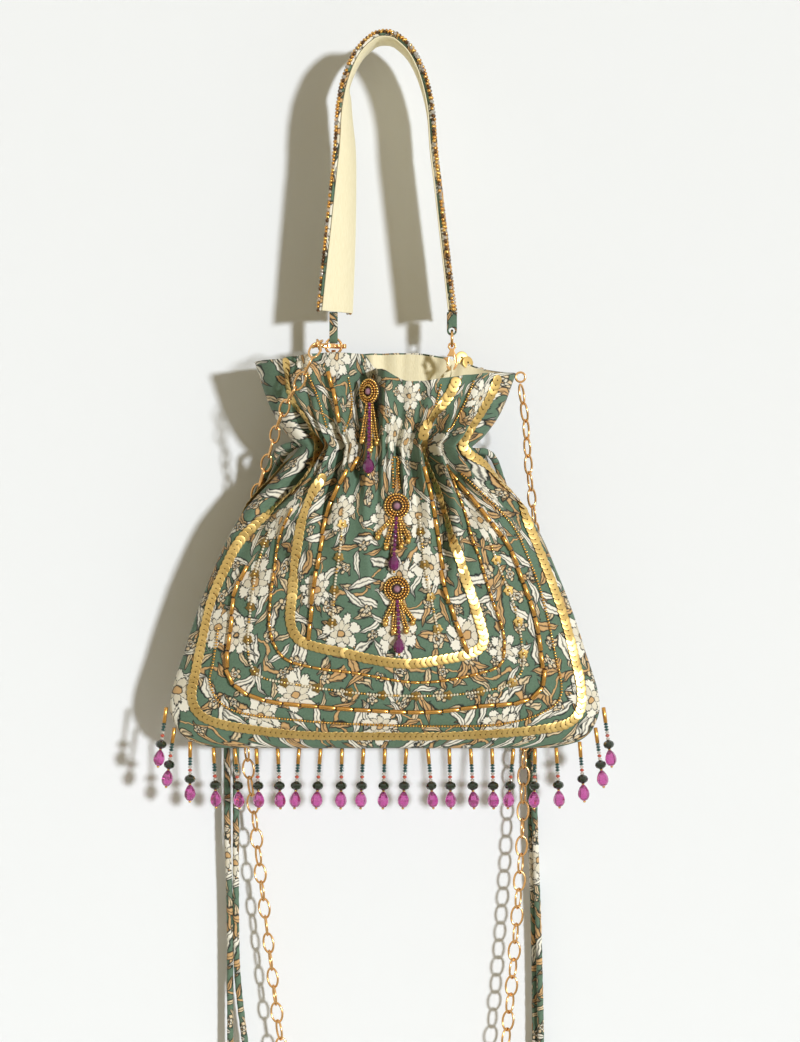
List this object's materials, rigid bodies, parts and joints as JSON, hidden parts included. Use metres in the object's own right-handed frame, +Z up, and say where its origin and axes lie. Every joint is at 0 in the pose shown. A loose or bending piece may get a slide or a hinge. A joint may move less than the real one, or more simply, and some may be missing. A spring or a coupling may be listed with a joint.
{
  "type": "drawstring potli bag",
  "caption": "Gathered cloth pouch bag on a beaded strap handle, with neck drawstrings, a shoulder chain, sequin bands, bead brooches and a swinging bead fringe.",
  "frame": {"origin": "the underside of the handle at its top, where a hook or a hand holds the bag", "axes": "+Z up, the decorated front faces -Y, +X to the right seen from the front"},
  "size_m": [0.2426, 0.076, 0.6614],
  "materials": {
    "print": "printed cotton silk, matt",
    "cream": "plain weave lining, matt",
    "gold": "polished gold plate",
    "sequin": "metallised sequins",
    "beads": "lined gold glass beads",
    "purple": "faceted",
    "drops": "faceted, polished"
  },
  "bodies": {
    "handle": {"handle_strap": "print", "handle_facing": "cream", "handle_beads_front": "beads", "handle_beads_back": "beads", "handle_tab_left": "print", "handle_tab_right": "print", "ring_right": "gold"},
    "bag": {"outer_cloth": "print", "lining": "cream", "drawstring_left": "print", "drawstring_right": "print", "ring_left": "gold", "clasp_left": "gold", "clasp_right": "gold", "clasp_loop_left": "cream", "clasp_loop_right": "cream", "chain_clasp": "gold", "shoulder_chain": "gold", "chain_ring": "gold", "sequin_band_outer": "sequin", "sequin_band_inner": "sequin", "brooch_neck": "beads", "brooch_drop_neck": "purple", "brooch_upper": "beads", "brooch_drop_upper": "purple", "brooch_lower": "beads", "brooch_drop_lower": "purple"},
    "clasp_lever_left": {"clasp_lever_left": "gold"},
    "clasp_lever_right": {"clasp_lever_right": "gold"},
    "chain_clasp_lever": {"chain_clasp_lever": "gold"},
    "fringe_strand_01": {"fringe_strand_01": "drops"},
    "fringe_strand_02": {"fringe_strand_02": "drops"},
    "fringe_strand_03": {"fringe_strand_03": "drops"},
    "fringe_strand_04": {"fringe_strand_04": "drops"},
    "fringe_strand_05": {"fringe_strand_05": "drops"},
    "fringe_strand_06": {"fringe_strand_06": "drops"},
    "fringe_strand_07": {"fringe_strand_07": "drops"},
    "fringe_strand_08": {"fringe_strand_08": "drops"},
    "fringe_strand_09": {"fringe_strand_09": "drops"},
    "fringe_strand_10": {"fringe_strand_10": "drops"},
    "fringe_strand_11": {"fringe_strand_11": "drops"},
    "fringe_strand_12": {"fringe_strand_12": "drops"},
    "fringe_strand_13": {"fringe_strand_13": "drops"},
    "fringe_strand_14": {"fringe_strand_14": "drops"},
    "fringe_strand_15": {"fringe_strand_15": "drops"},
    "fringe_strand_16": {"fringe_strand_16": "drops"},
    "fringe_strand_17": {"fringe_strand_17": "drops"},
    "fringe_strand_18": {"fringe_strand_18": "drops"},
    "fringe_strand_19": {"fringe_strand_19": "drops"},
    "fringe_strand_20": {"fringe_strand_20": "drops"},
    "fringe_strand_21": {"fringe_strand_21": "drops"},
    "fringe_strand_22": {"fringe_strand_22": "drops"},
    "fringe_strand_23": {"fringe_strand_23": "drops"}
  },
  "joints": [
    {"name": "bag_swing", "type": "hinge", "parent": "handle", "child": "bag", "pos_m": [0, 0, -0.1615], "axis": [1, 0, 0], "range_deg": [-60, 60]},
    {"name": "clasp_lever_left_press", "type": "hinge", "parent": "bag", "child": "clasp_lever_left", "pos_m": [-0.028, 0.0022, -0.1762], "axis": [-1, 0, 0], "range_deg": [0, 15], "stiffness_Nm_per_rad": 0.0005},
    {"name": "clasp_lever_right_press", "type": "hinge", "parent": "bag", "child": "clasp_lever_right", "pos_m": [0.0343, 0, -0.1719], "axis": [0, -1, 0], "range_deg": [0, 15], "stiffness_Nm_per_rad": 0.0005},
    {"name": "chain_clasp_lever_press", "type": "hinge", "parent": "bag", "child": "chain_clasp_lever", "pos_m": [-0.0266, -0.00431, -0.1658], "axis": [0, 0, 1], "range_deg": [0, 15], "stiffness_Nm_per_rad": 0.0005},
    {"name": "fringe_swing_01", "type": "hinge", "parent": "bag", "child": "fringe_strand_01", "pos_m": [-0.1185, -0.007, -0.362], "axis": [1, 0, 0], "range_deg": [-45, 45]},
    {"name": "fringe_swing_02", "type": "hinge", "parent": "bag", "child": "fringe_strand_02", "pos_m": [-0.11412, -0.007, -0.37298], "axis": [1, 0, 0], "range_deg": [-45, 45]},
    {"name": "fringe_swing_03", "type": "hinge", "parent": "bag", "child": "fringe_strand_03", "pos_m": [-0.10554, -0.007, -0.38061], "axis": [1, 0, 0], "range_deg": [-45, 45]},
    {"name": "fringe_swing_04", "type": "hinge", "parent": "bag", "child": "fringe_strand_04", "pos_m": [-0.0929, -0.007, -0.38385], "axis": [1, 0, 0], "range_deg": [-45, 45]},
    {"name": "fringe_swing_05", "type": "hinge", "parent": "bag", "child": "fringe_strand_05", "pos_m": [-0.08133, -0.007, -0.3843], "axis": [1, 0, 0], "range_deg": [-45, 45]},
    {"name": "fringe_swing_06", "type": "hinge", "parent": "bag", "child": "fringe_strand_06", "pos_m": [-0.06971, -0.007, -0.3843], "axis": [1, 0, 0], "range_deg": [-45, 45]},
    {"name": "fringe_swing_07", "type": "hinge", "parent": "bag", "child": "fringe_strand_07", "pos_m": [-0.05809, -0.007, -0.3843], "axis": [1, 0, 0], "range_deg": [-45, 45]},
    {"name": "fringe_swing_08", "type": "hinge", "parent": "bag", "child": "fringe_strand_08", "pos_m": [-0.04647, -0.007, -0.3843], "axis": [1, 0, 0], "range_deg": [-45, 45]},
    {"name": "fringe_swing_09", "type": "hinge", "parent": "bag", "child": "fringe_strand_09", "pos_m": [-0.03485, -0.007, -0.3843], "axis": [1, 0, 0], "range_deg": [-45, 45]},
    {"name": "fringe_swing_10", "type": "hinge", "parent": "bag", "child": "fringe_strand_10", "pos_m": [-0.02324, -0.007, -0.3843], "axis": [1, 0, 0], "range_deg": [-45, 45]},
    {"name": "fringe_swing_11", "type": "hinge", "parent": "bag", "child": "fringe_strand_11", "pos_m": [-0.01162, -0.007, -0.3843], "axis": [1, 0, 0], "range_deg": [-45, 45]},
    {"name": "fringe_swing_12", "type": "hinge", "parent": "bag", "child": "fringe_strand_12", "pos_m": [0, -0.007, -0.3843], "axis": [1, 0, 0], "range_deg": [-45, 45]},
    {"name": "fringe_swing_13", "type": "hinge", "parent": "bag", "child": "fringe_strand_13", "pos_m": [0.01162, -0.007, -0.3843], "axis": [1, 0, 0], "range_deg": [-45, 45]},
    {"name": "fringe_swing_14", "type": "hinge", "parent": "bag", "child": "fringe_strand_14", "pos_m": [0.02324, -0.007, -0.3843], "axis": [1, 0, 0], "range_deg": [-45, 45]},
    {"name": "fringe_swing_15", "type": "hinge", "parent": "bag", "child": "fringe_strand_15", "pos_m": [0.03485, -0.007, -0.3843], "axis": [1, 0, 0], "range_deg": [-45, 45]},
    {"name": "fringe_swing_16", "type": "hinge", "parent": "bag", "child": "fringe_strand_16", "pos_m": [0.04647, -0.007, -0.3843], "axis": [1, 0, 0], "range_deg": [-45, 45]},
    {"name": "fringe_swing_17", "type": "hinge", "parent": "bag", "child": "fringe_strand_17", "pos_m": [0.05809, -0.007, -0.3843], "axis": [1, 0, 0], "range_deg": [-45, 45]},
    {"name": "fringe_swing_18", "type": "hinge", "parent": "bag", "child": "fringe_strand_18", "pos_m": [0.06971, -0.007, -0.3843], "axis": [1, 0, 0], "range_deg": [-45, 45]},
    {"name": "fringe_swing_19", "type": "hinge", "parent": "bag", "child": "fringe_strand_19", "pos_m": [0.08133, -0.007, -0.3843], "axis": [1, 0, 0], "range_deg": [-45, 45]},
    {"name": "fringe_swing_20", "type": "hinge", "parent": "bag", "child": "fringe_strand_20", "pos_m": [0.0929, -0.007, -0.38385], "axis": [1, 0, 0], "range_deg": [-45, 45]},
    {"name": "fringe_swing_21", "type": "hinge", "parent": "bag", "child": "fringe_strand_21", "pos_m": [0.10554, -0.007, -0.38061], "axis": [1, 0, 0], "range_deg": [-45, 45]},
    {"name": "fringe_swing_22", "type": "hinge", "parent": "bag", "child": "fringe_strand_22", "pos_m": [0.11412, -0.007, -0.37298], "axis": [1, 0, 0], "range_deg": [-45, 45]},
    {"name": "fringe_swing_23", "type": "hinge", "parent": "bag", "child": "fringe_strand_23", "pos_m": [0.1185, -0.007, -0.362], "axis": [1, 0, 0], "range_deg": [-45, 45]}
  ]
}
